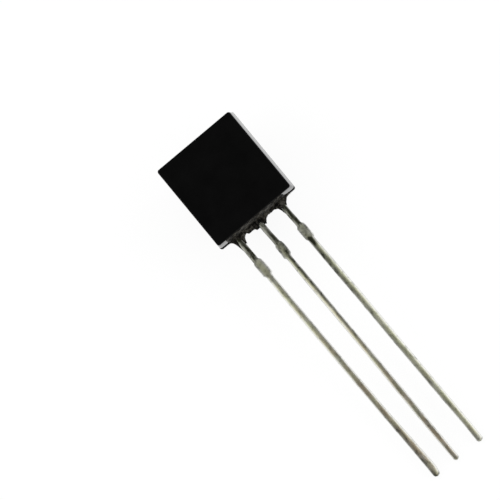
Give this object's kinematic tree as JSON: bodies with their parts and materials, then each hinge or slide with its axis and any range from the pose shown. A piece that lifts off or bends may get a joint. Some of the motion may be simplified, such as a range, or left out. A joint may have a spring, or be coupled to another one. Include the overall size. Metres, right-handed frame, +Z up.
{
  "type": "transistor",
  "caption": "Small-signal transistor: black D-shaped moulded case with a flat face and straight tinned leads, lying flat face up.",
  "frame": {"origin": "middle of the footprint, on the surface that the transistor lies on", "axes": "+Z up, on the side of the flat face; +Y from the lead tips towards the case; +X towards the collector lead"},
  "size_m": [0.0044, 0.0188, 0.004],
  "materials": {
    "case_epoxy": "matt moulded black epoxy, smoother on the side walls",
    "lead_tin": "dull tin plate with a faint olive tinge",
    "die_silicon": "polished silicon",
    "bond_gold": "bright drawn wire"
  },
  "bodies": {
    "root": {"moulded_case": "case_epoxy", "emitter_lead": "lead_tin", "base_lead": "lead_tin", "collector_lead": "lead_tin", "silicon_die": "die_silicon", "emitter_wire": "bond_gold", "base_wire": "bond_gold"}
  },
  "joints": []
}
